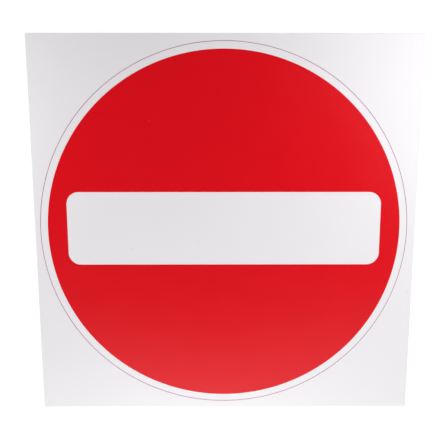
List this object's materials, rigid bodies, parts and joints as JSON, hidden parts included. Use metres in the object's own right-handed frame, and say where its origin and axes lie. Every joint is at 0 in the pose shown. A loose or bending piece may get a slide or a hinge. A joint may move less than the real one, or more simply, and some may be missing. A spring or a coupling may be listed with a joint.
{
  "type": "no entry sign",
  "caption": "Square white road sign sheet with a printed red disc, a white level bar across it and a hairline ring round it.",
  "frame": {"origin": "centre of the sheet's back face, which is the face it lies on", "axes": "+Z out of the printed face, +Y to the sign's top, +X to the right as the sign is read"},
  "size_m": [0.622, 0.622, 0.0032],
  "materials": {
    "white_sheet": "satin white plastic sheet",
    "red_print": "satin red print",
    "line_print": "thin dark magenta printed line"
  },
  "bodies": {
    "root": {"sign_sheet": "white_sheet", "red_disc": "red_print", "trim_line": "line_print"}
  },
  "joints": []
}
